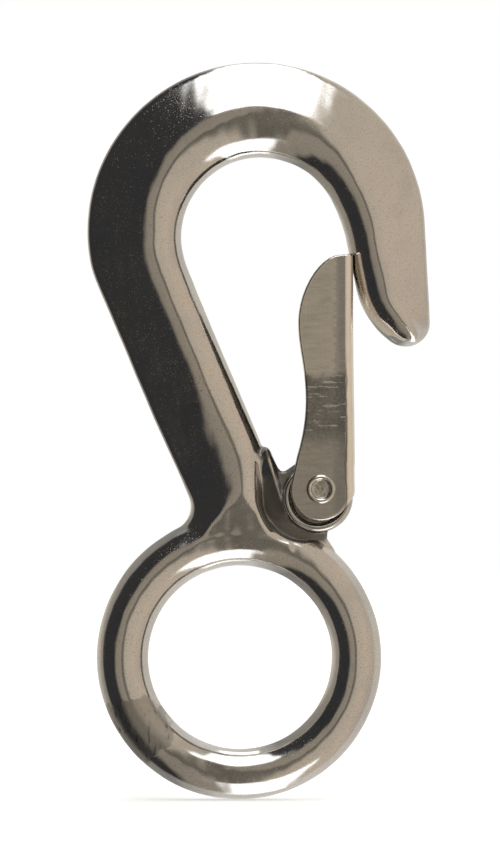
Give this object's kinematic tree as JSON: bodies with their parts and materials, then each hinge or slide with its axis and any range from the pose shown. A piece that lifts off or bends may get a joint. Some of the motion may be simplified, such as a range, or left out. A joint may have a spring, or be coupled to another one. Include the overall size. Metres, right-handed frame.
{
  "type": "fixed-eye snap hook",
  "caption": "Cast hook with a round fixed eye and a sprung sheet-metal gate on a hollow rivet, for clipping a line or bail to a ring.",
  "frame": {"origin": "centre of the eye, in the middle of its thickness", "axes": "+Z from the eye to the bow of the hook, +X to the nose side, +Y through the thickness along the bore of the eye"},
  "size_m": [0.0559, 0.0098, 0.1205],
  "materials": {
    "cast_steel": "polished investment casting with fine pits",
    "sheet_steel": "satin rolled sheet with handling scratches",
    "rivet_steel": "bright turned metal with a dented hollow",
    "spring_steel": "drawn spring wire"
  },
  "bodies": {
    "hook": {"hook_body": "cast_steel", "gate_spring": "spring_steel"},
    "gate": {"gate": "sheet_steel", "rivet": "rivet_steel"}
  },
  "joints": [
    {"name": "gate_pivot", "type": "hinge", "parent": "hook", "child": "gate", "pos_m": [0.0133, 0, 0.0275], "axis": [0, -1, 0], "range_deg": [0, 27], "stiffness_Nm_per_rad": 0.2, "springref_deg": -34.38, "deforming": ["gate_spring"]}
  ]
}
